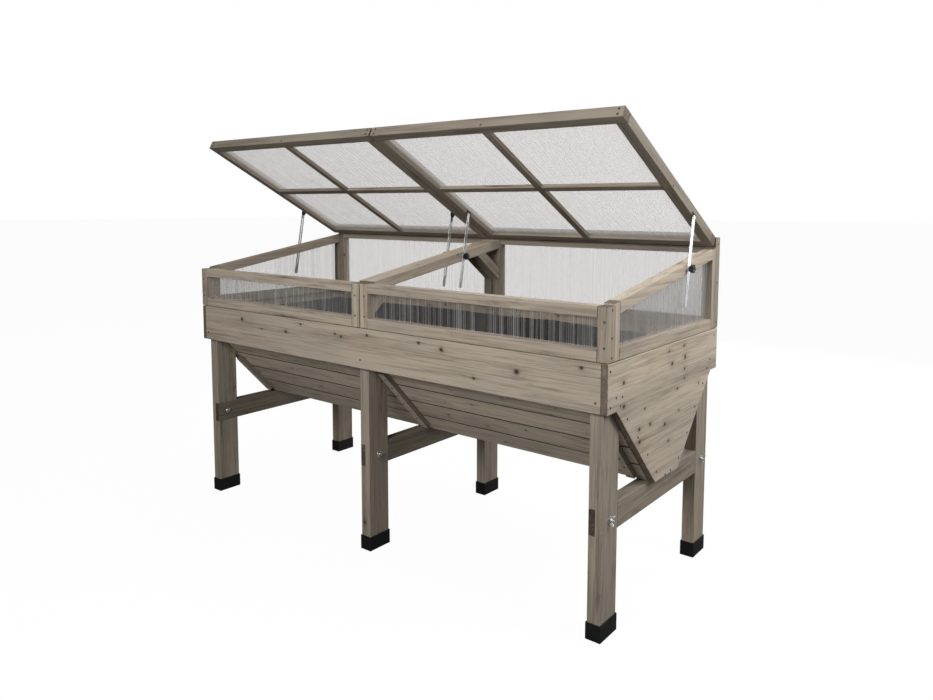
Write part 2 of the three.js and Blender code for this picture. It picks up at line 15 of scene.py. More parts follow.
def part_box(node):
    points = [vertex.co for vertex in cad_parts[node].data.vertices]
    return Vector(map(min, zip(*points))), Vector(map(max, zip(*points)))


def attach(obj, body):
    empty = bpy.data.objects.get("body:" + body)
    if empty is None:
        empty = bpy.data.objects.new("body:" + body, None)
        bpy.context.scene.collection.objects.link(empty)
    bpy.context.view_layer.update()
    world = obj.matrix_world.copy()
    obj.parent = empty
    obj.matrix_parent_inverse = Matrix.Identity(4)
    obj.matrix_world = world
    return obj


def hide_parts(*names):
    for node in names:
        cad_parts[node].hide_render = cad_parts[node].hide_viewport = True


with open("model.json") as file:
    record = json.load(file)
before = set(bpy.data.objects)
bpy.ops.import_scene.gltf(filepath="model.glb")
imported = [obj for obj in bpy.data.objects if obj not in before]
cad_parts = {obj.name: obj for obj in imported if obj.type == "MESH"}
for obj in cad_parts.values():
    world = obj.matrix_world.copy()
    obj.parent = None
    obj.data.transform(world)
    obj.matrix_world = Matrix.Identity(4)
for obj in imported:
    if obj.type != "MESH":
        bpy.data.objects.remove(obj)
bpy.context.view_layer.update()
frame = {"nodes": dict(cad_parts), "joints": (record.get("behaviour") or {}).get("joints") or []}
nodes = frame["nodes"]
joints = {joint["name"]: joint for joint in frame["joints"]}
scene = bpy.context.scene
dice = random.Random(11)

X, Y, Z = Vector((1, 0, 0)), Vector((0, 1, 0)), Vector((0, 0, 1))
SIDES = (("left", -1), ("right", 1))

# ---- Sizes of what the frame holds only as whole nodes ----

EASED_EDGE = 0.0012
WORN_EDGE = 0.0021
SEAM = 0.0022
JOINT_LINE = 0.0003
BRACKET_GAP = 0.0004  # from an end frame to the bracket that passes it as the lid shuts
STILE = {"front": 0.033, "back": 0.036, "end": 0.025}
TOP_RAIL = {"front": 0.030, "back": 0.051, "end": 0.032}
BOTTOM_RAIL = 0.035
LID_LENGTH = 0.731
LID_THICKNESS = 0.032
LID_RAIL = 0.032
LID_BACK_GAP = 0.003
LID_BAR_WIDTH = 0.025
LID_BAR_DEPTH = 0.013
CROSS_BAR_FROM_HINGE = 0.375
LID_SHEET = 0.006
BATTEN_WIDTH = 0.027
BATTEN_THICKNESS = 0.018
BATTEN_SHORT_OF_FOOT = 0.030
BATTENS = ((-0.8395, 0.115), (0.0465, 0.012), (0.8395, 0.115))  # (x, start down the slope)
FLUTE_PITCH = 0.0068
TROUGH_TOP_Y = 0.322
TROUGH_TOP_Z = 0.618
TROUGH_FOOT_Y = 0.079
MID_RAIL_DEPTH = 0.033
BRACE_RISE = {"front": (1, 42), "back": (-1, 36)}  # (way along Y, degrees)
SKIN = 0.0005
RIB = 0.0013
RIB_CONTRAST = {"front": 1.0, "end": 0.8, "back": 0.4, "lid": 0.28}
PANE_IN_GROOVE = 0.003

# ---- Colours and grain ----

KNOT_RADIUS = 0.0062
RING_WIDTH = 0.0052
LIGHT_WOOD = (0.455, 0.392, 0.314)
DARK_WOOD = (0.135, 0.106, 0.080)
WARM_STAIN = (0.50, 0.38, 0.30)
DRY_GREY = (0.470, 0.425, 0.360)
KNOT_RIM = (0.115, 0.085, 0.062)
KNOT_HEART = (0.030, 0.021, 0.015)
SHEET_TINT = (0.908, 0.904, 0.901)
WEB_TINT = (0.985, 0.984, 0.983)
SHEET_WHITE = (0.80, 0.795, 0.79)

# ---- Node trees ----


class Graph:
    """Short calls that build the node tree of one material, or of the world."""

    def __init__(self, name, kind="Material"):
        library = bpy.data.worlds if kind == "World" else bpy.data.materials
        self.owner = library.new(name)
        self.owner.use_nodes = True
        self.tree = self.owner.node_tree
        self.tree.nodes.clear()
        self.output = self.add(f"ShaderNodeOutput{kind}")

    def add(self, kind, **settings):
        node = self.tree.nodes.new(kind)
        for key, value in settings.items():
            setattr(node, key, value)
        return node

    def link(self, value, socket):
        if isinstance(value, bpy.types.NodeSocket):
            self.tree.links.new(value, socket)
        else:
            socket.default_value = value

    def math(self, operation, *values, clamp=False):
        node = self.add("ShaderNodeMath", operation=operation, use_clamp=clamp)
        for value, socket in zip(values, node.inputs):
            self.link(value, socket)
        return node.outputs[0]

    def total(self, *values):
        return reduce(lambda first, second: self.math("ADD", first, second), values)

    def product(self, *values):
        return reduce(lambda first, second: self.math("MULTIPLY", first, second), values)

    def centred(self, value, weight):
        """A noise of 0..1 moved to lie about zero, times a weight."""
        return self.product(self.total(value, -0.5), weight)

    def vector(self, operation, *values):
        node = self.add("ShaderNodeVectorMath", operation=operation)
        for value, socket in zip(values, node.inputs):
            self.link(value, socket)
        return node.outputs[1 if operation == "LENGTH" else 0]

    def attribute(self, name):
        return self.add("ShaderNodeAttribute", attribute_name=name).outputs["Vector"]

    def split(self, value):
        node = self.add("ShaderNodeSeparateXYZ")
        self.link(value, node.inputs[0])
        return node.outputs

    def noise(self, place, detail, roughness):
        node = self.add("ShaderNodeTexNoise")
        self.link(place, node.inputs["Vector"])
        node.inputs["Scale"].default_value = 1.0
        node.inputs["Detail"].default_value = detail
        node.inputs["Roughness"].default_value = roughness
        return node.outputs["Fac"]

    def span(self, value, low, high, to_low=0.0, to_high=1.0):
        """Maps low..high to to_low..to_high, and holds the ends."""
        node = self.add("ShaderNodeMapRange")
        for socket, number in zip(node.inputs[:5], (value, low, high, to_low, to_high)):
            self.link(number, socket)
        return node.outputs[0]

    def mix(self, share, first, second, blend="MIX"):
        node = self.add("ShaderNodeMix", data_type="RGBA", blend_type=blend)
        self.link(share, node.inputs[0])
        for value, socket in ((first, node.inputs[6]), (second, node.inputs[7])):
            self.link((*value, 1.0) if isinstance(value, tuple) else value, socket)
        return node.outputs[2]

    def object_noise(self, scale, detail, roughness=0.5):
        """Noise in the object's own space. scale is its cells in a metre: one number, or X, Y and Z."""
        scales = scale if isinstance(scale, tuple) else (scale, scale, scale)
        place = self.add("ShaderNodeTexCoord").outputs["Object"]
        return self.noise(self.vector("MULTIPLY", place, scales), detail, roughness)

    def mix_shaders(self, share, first, second):
        node = self.add("ShaderNodeMixShader")
        for value, socket in zip((share, first, second), node.inputs):
            self.link(value, socket)
        return node.outputs[0]

    def bump(self, height, strength, distance):
        node = self.add("ShaderNodeBump")
        self.link(height, node.inputs["Height"])
        node.inputs["Strength"].default_value = strength
        node.inputs["Distance"].default_value = distance
        return node.outputs[0]

    def principled(self, **inputs):
        node = self.add("ShaderNodeBsdfPrincipled")
        for key, value in inputs.items():
            name = key.replace("_", " ")
            self.link((*value, 1.0) if isinstance(value, tuple) else value, node.inputs[name])
        return node.outputs[0]

    def finish(self, surface):
        self.link(surface, self.output.inputs["Surface"])
        return self.owner

    def surface(self, **inputs):
        return self.finish(self.principled(**inputs))


def knot_distances(g, grain, shift, knots, cells):
    """Distance to the nearest knot in knot radii, and the same with knots drawn out along the grain."""
    scattered = g.add("ShaderNodeTexVoronoi")
    scattered.inputs["Scale"].default_value = cells
    place = g.vector("ADD", g.vector("MULTIPLY", grain, (0.8, 1.0, 1.0)), shift)
    g.link(place, scattered.inputs["Vector"])
    offsets = [(g.vector("SUBTRACT", place, scattered.outputs["Position"]), KNOT_RADIUS)]
    for along, across, radius in knots:
        away = g.vector("SUBTRACT", grain, (along, across, 0.0))
        offsets.append((g.vector("MULTIPLY", away, (0.8, 1.0, 0.0)), radius))
    nearest = []
    for stretch in (1.0, 0.3):
        distance = None
        for offset, radius in offsets:
            scaled = g.vector("MULTIPLY", offset, (stretch / radius, 1 / radius, 1 / radius))
            reach = g.vector("LENGTH", scaled)
            distance = g.math("MINIMUM", distance, reach) if distance else reach
        nearest.append(distance)
    return nearest


def bell(g, distance):
    """1 at no distance, and almost nothing from 3 on."""
    return g.math("EXPONENT", g.product(distance, distance, -0.5))


def late_wood(g, grain, board, wander, pull):
    """Near 1 in the dark part of each growth ring. The rings run about a pith that wanders behind
    the board, and pull bends them round the knots."""
    _, across, through = g.split(grain)
    first, second, _ = g.split(board)
    ring_y = g.total(across, g.centred(first, 0.07), wander)
    ring_z = g.total(through, g.product(second, 0.05), 0.012)
    from_pith = g.math("SQRT", g.total(g.product(ring_y, ring_y), g.product(ring_z, ring_z)))
    from_pith = g.total(from_pith, g.product(pull, 0.011))
    cycle = g.math("FRACT", g.math("DIVIDE", from_pith, RING_WIDTH))
    return g.product(g.span(cycle, 0.25, 0.88), g.span(cycle, 1.0, 0.9))


def board_tone(g, grain, board, blotch, stave, shade):
    """A grey that differs between boards, within a board, and between glued strips."""
    third = g.split(board)[2]
    tone = g.product(g.span(third, 0.0, 1.0, 0.84, 1.12), g.span(blotch, 0.3, 0.7, 0.88, 1.1), shade)
    if stave:
        strip = g.add("ShaderNodeTexWhiteNoise", noise_dimensions="1D")
        across = g.split(grain)[1]
        g.link(g.math("FLOOR", g.math("DIVIDE", across, stave)), strip.inputs["W"])
        tone = g.product(tone, g.span(strip.outputs["Value"], 0.0, 1.0, 0.93, 1.05))
    grey = g.add("ShaderNodeCombineColor")
    for socket in grey.inputs[:3]:
        g.link(tone, socket)
    return grey.outputs[0]


def wood(
    name, shade=1.0, weathered=0.3, cells=10.0, knots=(), stave=None, light=LIGHT_WOOD, dark=DARK_WOOD
):
    """Grey-washed softwood. It reads two attributes of a board: "grain", the place in the board
    (along, across, through), and "board", three random numbers of its own. weathered is the depth of
    the dark smudges, cells is how many knots lie along a metre, knots lists more of them as (along,
    across, radius), and stave is the width of the strips of a glued panel."""
    g = Graph(name)
    grain, board = g.attribute("grain"), g.attribute("board")
    shift = g.vector("MULTIPLY", board, (37.0, 53.0, 71.0))

    def streaks(along, across, detail=3.0, roughness=0.55):
        stretched = g.vector("MULTIPLY", grain, (along, across, across))
        return g.noise(g.vector("ADD", stretched, shift), detail, roughness)

    knot, tail = knot_distances(g, grain, shift, knots, cells)
    knot = g.total(knot, g.centred(streaks(90, 160, 2.0), 0.5))
    pull, smear = bell(g, knot), bell(g, tail)
    late = late_wood(g, grain, board, g.centred(streaks(1.6, 4, 2.0), 0.05), pull)

    fibres = streaks(7, 240, 3.0, 0.6)
    blotch = streaks(2.6, 8)
    smudge = g.span(streaks(6, 30, 4.0, 0.65), 0.56, 0.74)
    dry = g.span(streaks(4, 60, 4.0, 0.65), 0.55, 0.75)
    darkness = g.total(
        g.product(late, 0.16),
        0.08,
        g.centred(streaks(1.1, 26), 1.1),
        g.centred(streaks(3, 95, 3.0, 0.6), 1.3),
        g.centred(fibres, 1.3),
        g.centred(streaks(28, 1100, 2.0, 0.6), 0.4),
        g.product(pull, 0.16),
        g.product(smear, 0.2),
    )
    darkness = g.math("ADD", darkness, g.product(smudge, weathered), clamp=True)

    colour = g.mix(darkness, light, dark)
    colour = g.mix(g.product(dry, 0.35), colour, DRY_GREY)
    colour = g.mix(g.span(blotch, 0.45, 0.75, 0.0, 0.35), colour, WARM_STAIN, "SOFT_LIGHT")
    heart = g.span(knot, 0.35, 0.62, 0.92, 0.0)
    colour = g.mix(g.span(knot, 0.55, 1.05, 0.5, 0.0), colour, KNOT_RIM)
    colour = g.mix(heart, colour, KNOT_HEART)
    colour = g.mix(1.0, colour, board_tone(g, grain, board, blotch, stave, shade), "MULTIPLY")
    height = g.total(g.product(fibres, 0.8), g.product(late, 0.45), g.product(heart, -0.5))
    return g.surface(
        Base_Color=colour,
        Roughness=g.span(fibres, 0.3, 0.7, 0.72, 0.9),
        Specular_IOR_Level=0.25,
        Normal=g.bump(height, 0.5, 0.0006),
    )


def moulded(name, colour, roughness):
    """Rubber or plastic with a fine moulded grain and slightly uneven gloss."""
    g = Graph(name)
    fine = g.object_noise(900.0, 2.0)
    wide = g.object_noise(22.0, 3.0)
    tint = g.mix(g.span(wide, 0.35, 0.7, 0.0, 0.6), colour, tuple(1.7 * part + 0.002 for part in colour))
    return g.surface(
        Base_Color=tint,
        Roughness=g.span(wide, 0.3, 0.7, roughness - 0.07, roughness + 0.09),
        Specular_IOR_Level=0.3,
        Normal=g.bump(fine, 0.25, 0.0002),
    )


def plated(name, colour, roughness, brush):
    """Bright zinc plate with faint cloudy patches, and a fine relief of brush cells in a metre."""
    g = Graph(name)
    lines = g.object_noise(brush, 3.0, 0.6)
    cloud = g.object_noise(60.0, 3.0)
    tint = g.mix(g.span(cloud, 0.35, 0.65, 0.0, 0.5), colour, tuple(0.78 * part for part in colour))
    return g.surface(
        Base_Color=tint,
        Metallic=1.0,
        Roughness=g.span(lines, 0.3, 0.7, roughness - 0.08, roughness + 0.12),
        Normal=g.bump(lines, 0.15, 0.0002),
    )


def painted(name, colour, roughness):
    """Black coated steel with a slight orange-peel surface."""
    g = Graph(name)
    peel = g.object_noise(420.0, 2.0)
    worn = g.object_noise(70.0, 4.0, 0.6)
    tint = g.mix(g.span(worn, 0.55, 0.75, 0.0, 0.5), colour, (0.07, 0.066, 0.062))
    return g.surface(
        Base_Color=tint,
        Metallic=0.4,
        Roughness=g.span(worn, 0.3, 0.7, roughness, roughness + 0.2),
        Normal=g.bump(peel, 0.2, 0.0002),
    )


def matted_fabric(name):
    """Black non-woven fabric: matted fibres in two directions over a soft mottle."""
    g = Graph(name)
    one = g.object_noise((160.0, 900.0, 900.0), 3.0, 0.65)
    two = g.object_noise((900.0, 160.0, 700.0), 3.0, 0.65)
    mottle = g.object_noise((9.0, 12.0, 12.0), 4.0, 0.6)
    matted = g.product(g.total(one, two), 0.5)
    colour = g.mix(g.span(mottle, 0.35, 0.7), (0.0050, 0.0052, 0.0056), (0.0095, 0.0099, 0.0105))
    colour = g.mix(g.span(matted, 0.45, 0.7, 0.0, 0.6), colour, (0.0180, 0.0186, 0.0200))
    return g.surface(
        Base_Color=colour,
        Roughness=0.93,
        Specular_IOR_Level=0.08,
        Sheen_Weight=0.03,
        Sheen_Roughness=0.5,
        Normal=g.bump(matted, 0.6, 0.0008),
    )


def twin_wall_plastic(name, clear, hazy, slanted, tint=SHEET_TINT):
    """One wall of a translucent twin-wall sheet: part of the light goes straight through and the
    rest is scattered both ways. The share that goes through runs from clear to hazy with attribute
    "flute", and slanted is how much more is scattered where the wall is seen at a slant."""
    g = Graph(name)
    flute = g.split(g.attribute("flute"))[0]
    dust = g.object_noise(7.0, 4.0, 0.6)
    scattered = g.total(
        g.span(flute, 0.0, 1.0, 1.0 - clear, 1.0 - hazy), g.span(dust, 0.5, 0.8, 0.0, 0.003)
    )
    slant = g.add("ShaderNodeLayerWeight").outputs["Facing"]
    slant = g.product(g.math("POWER", slant, 3.0), slanted)
    scattered = g.math("ADD", scattered, slant, clamp=True)
    through = g.add("ShaderNodeBsdfTransparent")
    through.inputs[0].default_value = (*tint, 1.0)
    front = g.principled(Base_Color=SHEET_WHITE, Roughness=g.span(flute, 0.0, 1.0, 0.2, 0.4), IOR=1.5)
    glow = g.add("ShaderNodeBsdfTranslucent")
    glow.inputs[0].default_value = (*SHEET_WHITE, 1.0)
    haze = g.mix_shaders(0.6, front, glow.outputs[0])
    return g.finish(g.mix_shaders(scattered, through.outputs[0], haze))


# ---- Materials ----

# knots, as (along, across, radius) from the middle of the board
APRON_KNOTS = (
    (0.823, 0.048, 0.008), (0.620, 0.009, 0.012), (0.348, 0.038, 0.010), (0.257, 0.048, 0.007),
    (0.033, 0.047, 0.007), (-0.299, 0.050, 0.006), (-0.380, 0.015, 0.008), (-0.120, 0.036, 0.006),
    (-0.090, 0.029, 0.007), (-0.640, 0.036, 0.009), (0.470, -0.030, 0.006), (-0.520, 0.012, 0.004),
)
PANEL_KNOTS = (
    (0.286, 0.134, 0.008), (0.283, 0.070, 0.009), (0.157, 0.037, 0.006), (0.121, -0.014, 0.008),
    (0.023, -0.037, 0.008), (0.189, -0.014, 0.009), (0.186, -0.050, 0.009), (-0.004, -0.093, 0.006),
    (0.004, 0.174, 0.005), (-0.018, 0.134, 0.009), (-0.102, 0.175, 0.007), (-0.112, 0.140, 0.010),
    (-0.110, 0.104, 0.006), (-0.112, 0.074, 0.005), (-0.061, 0.052, 0.006), (-0.076, -0.017, 0.005),
    (-0.224, 0.039, 0.006),
)

planter_wood = wood("planter_wood")
slat_wood = wood("slat_wood", shade=1.22, weathered=0.6, cells=17.0)
# Lit and shaded copies of one leg wood: painted shade, darker towards the left, away from the lamps and
# under the trough
leg_woods_lit_and_shaded = {
    place: wood(f"leg_wood_{place}", shade=shade, weathered=0.45)
    for place, shade in (("left", 0.61), ("mid", 0.67), ("right", 0.73))
}
apron_wood = wood("apron_wood", knots=APRON_KNOTS, cells=6.0)
panel_wood = wood("panel_wood", knots=PANEL_KNOTS, stave=0.055, weathered=0.2, cells=6.0)
frame_wood = wood("frame_wood", shade=0.98)
front_wood = wood("front_wood", shade=0.90, weathered=0.6, cells=12.0)
# Painted shade: the back frames are darkened for the shade inside, under the lids
back_wood_painted_shade = wood("back_wood_painted_shade", shade=0.70)
# A lit copy for the right end frame and a painted-shade copy for the left one, whose inner side stands
# in shade
end_woods_lit_and_shaded = {
    side: wood(f"end_wood_{side}", shade=shade) for side, shade in (("left", 0.66), ("right", 1.03))
}
# Darker boards, and partly painted shade for the shaded undersides of the open lids
lid_wood = wood("lid_wood", shade=0.60, weathered=0.45)
# Painted shade: a dark copy for the stretchers under the trough and the battens' long sides, which stand
# in shade
painted_shade_wood = wood("painted_shade_wood", shade=0.48)
batten_wood = wood("batten_wood", shade=0.95)
tenon_grain = wood("tenon_grain", shade=0.8, light=(0.11, 0.085, 0.065), dark=(0.04, 0.030, 0.022))
end_grain = wood("end_grain", shade=0.8, light=(0.20, 0.160, 0.122), dark=(0.07, 0.053, 0.038))
# Painted shade: dark eased edges that stand in for the shade in the gaps between slats
seam_shade_wood = wood("seam_shade_wood", light=(0.095, 0.077, 0.060), dark=(0.040, 0.031, 0.024))
foot_rubber = moulded("foot_rubber", (0.002, 0.0022, 0.0022), 0.75)
knob_plastic = moulded("knob_plastic", (0.005, 0.005, 0.0055), 0.5)
liner_fabric = matted_fabric("liner_fabric")
skin_plastic = twin_wall_plastic("sheet_skin", 0.998, 0.996, 0.75)
rib_plastic = twin_wall_plastic("sheet_rib", 0.90, 0.20, 0.4)
web_plastic = twin_wall_plastic("sheet_web", 0.998, 0.985, 0.0, WEB_TINT)
stay_zinc = plated("stay_zinc", (0.72, 0.73, 0.75), 0.26, (900.0, 900.0, 30.0))
bolt_zinc = plated("bolt_zinc", (0.66, 0.66, 0.66), 0.32, 300.0)
black_coat = painted("black_coat", (0.012, 0.012, 0.013), 0.34)
screw_coat = painted("screw_coat", (0.010, 0.009, 0.008), 0.55)

# ---- Mesh building ----


def new_object(name, data):
    made = bpy.data.objects.new(name, data)
    scene.collection.objects.link(made)
    return made


class Build:
    """Gathers closed shapes into one mesh object that rides on a body."""

    def __init__(self, name, body, *materials):
        self.name, self.body, self.materials = name, body, materials
        self.points, self.faces, self.slots, self.smooth = [], [], [], []
        self.vectors = {}

    def add(self, shape, place, smooth=False, slots=None, **vectors):
        """shape is (points, faces). Each of vectors names an attribute: one value per point."""
        points, faces = shape
        start = len(self.points)
        for name, values in vectors.items():
            self.vectors.setdefault(name, {})[start] = values
        self.points += [place @ Vector(point) for point in points]
        self.faces += [[start + i for i in face] for face in faces]
        self.slots += slots or [0] * len(faces)
        self.smooth += [smooth] * len(faces)

    def finish(self, *replaced, slot):
        mesh = bpy.data.meshes.new(self.name)
        mesh.from_pydata([tuple(point) for point in self.points], [], self.faces)
        for material in self.materials:
            mesh.materials.append(material)
        mesh.polygons.foreach_set("material_index", self.slots)
        mesh.polygons.foreach_set("use_smooth", self.smooth)
        for name, stretches in self.vectors.items():
            attribute = mesh.attributes.new(name, "FLOAT_VECTOR", "POINT")
            for start, values in stretches.items():
                for i, value in enumerate(values):
                    attribute.data[start + i].vector = value
        mesh.update()
        piece = new_object(self.name, mesh)
        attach(piece, self.body)
        if replaced:
            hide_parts(*replaced)
        return piece


def prism(outline, thickness, eased=EASED_EDGE):
    """Points, faces and face normals of an outline in XY, counter-clockwise, raised along Z."""
    mesh = bmesh.new()
    low = [mesh.verts.new((u, v, 0.0)) for u, v in outline]
    high = [mesh.verts.new((u, v, thickness)) for u, v in outline]
    mesh.faces.new(reversed(low))
    mesh.faces.new(high)
    for i, corner in enumerate(low):
        j = (i + 1) % len(low)
        mesh.faces.new((corner, low[j], high[j], high[i]))
    bmesh.ops.bevel(
        mesh, geom=mesh.edges[:], offset=eased, segments=2, profile=0.5, affect="EDGES",
        clamp_overlap=True,
    )
    mesh.normal_update()
    mesh.verts.index_update()
    points = [tuple(vert.co) for vert in mesh.verts]
    faces = [[vert.index for vert in face.verts] for face in mesh.faces]
    normals = [face.normal.copy() for face in mesh.faces]
    mesh.free()
    return points, faces, normals


def turned(rings, steps=24):
    """A closed form about Z. Each ring is (radius, height); a radius may be a function of angle."""
    points, faces = [], []
    for radius, height in rings:
        for i in range(steps):
            angle = 2 * math.pi * i / steps
            reach = radius(angle) if callable(radius) else radius
            points.append((reach * math.cos(angle), reach * math.sin(angle), height))
    for ring in range(len(rings) - 1):
        for i in range(steps):
            j = (i + 1) % steps
            a, b = ring * steps, (ring + 1) * steps
            faces.append([a + i, a + j, b + j, b + i])
    faces.append(list(reversed(range(steps))))
    faces.append(list(range((len(rings) - 1) * steps, len(rings) * steps)))
    return points, faces


def axes(origin, along, across):
    """The matrix whose X is along, whose Y is across, and whose Z is square to both."""
    along, across = Vector(along).normalized(), Vector(across).normalized()
    columns = Matrix((along, across, along.cross(across))).transposed()
    return Matrix.Translation(origin) @ columns.to_4x4()


def facing(point, direction):
    """The matrix that stands a turned form's Z axis on a point, pointing in a direction."""
    return Matrix.Translation(point) @ Vector(direction).to_track_quat("Z", "Y").to_matrix().to_4x4()


def side_x(node, sign):
    """Where a node ends on the left (-1) or on the right (1)."""
    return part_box(node)[1 if sign > 0 else 0].x


def board_numbers():
    return Vector((dice.random(), dice.random(), dice.random()))


def add_board(build, outline, thickness, place, side_slot=0):
    """A board whose grain runs along its X. Slot 0 is its faces, slot 1 its end grain, and side_slot
    its two long sides."""
    points, faces, normals = prism(outline, thickness)
    middle = sum((Vector(point) for point in points), Vector()) / len(points)
    slots = [1 if abs(way.x) > 0.25 else side_slot if abs(way.y) > 0.5 else 0 for way in normals]
    grain = [Vector(point) - middle for point in points]
    board = [board_numbers()] * len(points)
    build.add((points, faces), place, slots=slots, grain=grain, board=board)


def strip(length, width):
    """The outline of a plain board, from the origin along X and Y."""
    return [(0, 0), (length, 0), (length, width), (0, width)]


# ---- CAD nodes that stay: grain, eased edges and materials ----


def finish_node(piece, materials, eased, segments, edge_slot=-1):
    """Gives a CAD node its materials and eased edges, without the seams between its triangles."""
    piece.data.materials.clear()
    for material in materials:
        piece.data.materials.append(material)
    for polygon in piece.data.polygons:
        polygon.material_index = 0
        polygon.use_smooth = False
    weld = piece.modifiers.new("weld", "WELD")
    weld.merge_threshold = 1e-5
    flatten = piece.modifiers.new("flatten", "DECIMATE")
    flatten.decimate_type = "DISSOLVE"
    flatten.angle_limit = math.radians(1.0)
    flatten.delimit = {"MATERIAL"}
    ease = piece.modifiers.new("ease", "BEVEL")
    ease.width = eased
    ease.segments = segments
    ease.limit_method = "ANGLE"
    ease.angle_limit = math.radians(30)
    ease.material = edge_slot


def dress(name, material, eased, segments=2):
    finish_node(nodes[name], [material], eased, segments)


def dress_board(
    name, along, across, faces=planter_wood, ends=end_grain, edges=None, flip=False,
    eased=EASED_EDGE, sawn=0.85,
):
    """Gives a CAD board its grain, and materials for its faces, its ends and its eased edges. flip
    turns it end for end, so that its pair differs. A face is an end where it cuts the grain as
    squarely as sawn, from 0 to 1."""
    piece = nodes[name]
    mesh = piece.data
    low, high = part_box(name)
    middle = (low + high) / 2
    along, across = Vector(along).normalized(), Vector(across).normalized()
    through = along.cross(across)
    turn = -1 if flip else 1
    numbers = board_numbers()
    grain = mesh.attributes.new("grain", "FLOAT_VECTOR", "POINT")
    board = mesh.attributes.new("board", "FLOAT_VECTOR", "POINT")
    for vertex in mesh.vertices:
        away = vertex.co - middle
        place = (turn * away.dot(along), away.dot(across), away.dot(through))
        grain.data[vertex.index].vector = place
        board.data[vertex.index].vector = numbers
    materials = [faces, ends, edges] if edges else [faces, ends]
    finish_node(piece, materials, eased, 2, 2 if edges else -1)
    for polygon in mesh.polygons:
        polygon.material_index = 1 if abs(polygon.normal.dot(along)) > sawn else 0


planter_low, planter_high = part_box("end_panel_right")
slope_length = math.hypot(TROUGH_TOP_Y - TROUGH_FOOT_Y, TROUGH_TOP_Z - planter_low.z)


def slope(side):
    """The top of the slats, their way down and their way out, on the front (-1) or the back (1)."""
    top = Vector((0, side * TROUGH_TOP_Y, TROUGH_TOP_Z))
    down = (Vector((0, side * TROUGH_FOOT_Y, planter_low.z)) - top).normalized()
    return top, down, X.cross(down) * side


def dress_planter():
    for row, side in (("front", -1), ("back", 1)):
        for place in ("left", "mid", "right"):
            dress_board(f"leg_{row}_{place}", Z, X, leg_woods_lit_and_shaded[place])
            dress(f"foot_{row}_{place}", foot_rubber, 0.0015, 3)
        dress_board(f"apron_{row}", X, Z, apron_wood, flip=side > 0, eased=WORN_EDGE)
        down = slope(side)[1]
        for i in range(4):
            name = f"trough_slat_{row}_{i + 1}"
            # The slats' eased edges get painted shade for the gaps between them
            dress_board(name, X, down, slat_wood, edges=seam_shade_wood, eased=WORN_EDGE)
    # The left and mid stretchers get painted shade, for the shade of the trough and legs
    for place, faces in (("left", painted_shade_wood), ("mid", painted_shade_wood), ("right", leg_woods_lit_and_shaded["right"])):
        dress_board(f"stretcher_{place}", Y, Z, faces, ends=tenon_grain)
    for side, sign in SIDES:
        dress_board(f"end_panel_{side}", -Y, Z, panel_wood, flip=sign < 0, eased=WORN_EDGE, sawn=0.5)
    dress_board("trough_base", X, Y)


def dress_rails():
    low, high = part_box("mid_rail")
    rise = (high.z - low.z - MID_RAIL_DEPTH) / (high.y - low.y)
    dress_board("mid_rail", Vector((0, 1, rise)), X, frame_wood)
    for row in ("back", "front"):
        way, degrees = BRACE_RISE[row]
        along = Vector((0, way, math.tan(math.radians(degrees))))
        dress_board(f"mid_rail_{row}_brace", along, X, frame_wood)


# ---- Frames of boards, and their twin-wall sheets ----


def twin_wall(width, height, thickness, contrast):
    """A sheet in XY, its flutes open at both ends of Y, its thickness along Z. Returns points,
    faces, slots (0 skins, 1 lines where ribs meet them, 2 ribs) and the haze of each point's rib."""
    count = round((width - RIB) / FLUTE_PITCH)
    pitch = (width - RIB) / count
    lines = []
    for i in range(count + 1):
        lines += [i * pitch, i * pitch + RIB]
    levels = (0.0, SKIN, thickness - SKIN, thickness)
    points, faces, slots, flutes = [], [], [], []
    shares = [contrast * dice.random() ** 2 for _ in range(count + 1)]
    for end in (0.0, height):
        for column, x in enumerate(lines):
            share = shares[column // 2]
            points += [(x, end, level) for level in levels]
            flutes += [Vector((share, share, share))] * len(levels)
    columns, rows = len(lines), len(levels)
    far = columns * rows

    def solid(column, row):
        inside = 0 <= column < columns - 1 and 0 <= row < rows - 1
        return inside and (row != 1 or column % 2 == 0)

    for column in range(columns - 1):
        for row in range(rows - 1):
            if not solid(column, row):
                continue
            slot = 2 if row == 1 else 1 if column % 2 == 0 else 0
            first = column * rows + row
            corners = [first, first + rows, first + rows + 1, first + 1]
            faces.append(corners)
            faces.append([far + i for i in reversed(corners)])
            slots += [1, 1]
            for i, (d_column, d_row) in enumerate(((0, -1), (1, 0), (0, 1), (-1, 0))):
                if not solid(column + d_column, row + d_row):
                    a, b = corners[i], corners[(i + 1) % 4]
                    faces.append([b, a, a + far, b + far])
                    slots.append(slot)
    return points, faces, slots, flutes


def add_sheet(name, body, replaced, sheet, place=Matrix.Identity(4)):
    points, faces, slots, flutes = sheet
    build = Build(name, body, skin_plastic, rib_plastic, web_plastic)
    build.add((points, faces), place, slots=slots, flute=flutes)
    build.finish(replaced, slot="glazing")


